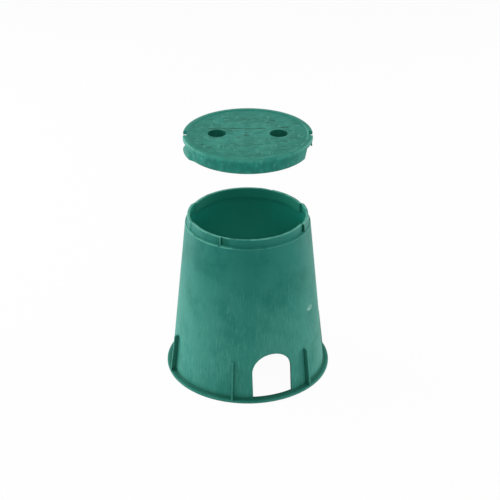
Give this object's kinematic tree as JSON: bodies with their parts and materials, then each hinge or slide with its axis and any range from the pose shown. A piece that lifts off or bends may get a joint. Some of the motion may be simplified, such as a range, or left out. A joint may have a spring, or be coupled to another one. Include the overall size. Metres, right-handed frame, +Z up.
{
  "type": "irrigation valve box",
  "caption": "Small round irrigation valve box: a tapered plastic box, open below, with mouse holes, gussets and a collar, and its round lift-off cover with finger holes.",
  "frame": {"origin": "on the box's axis, on the ground under its flange", "axes": "+Z up the box's axis, the way the cover lifts off; -Y is the front that the picture shows, and the cover's finger holes lie along X"},
  "size_m": [0.2268, 0.2268, 0.3459],
  "materials": {
    "box": "satin green moulded polyethylene",
    "cover": "satin green moulded polyethylene with a worn, raised grip pattern"
  },
  "bodies": {
    "box": {"box_body": "box"},
    "cover": {"cover": "cover"}
  },
  "joints": [
    {"name": "cover_lift", "type": "slide", "parent": "box", "child": "cover", "axis": [0, 0, 1], "range_m": [-0.106, 0]}
  ]
}
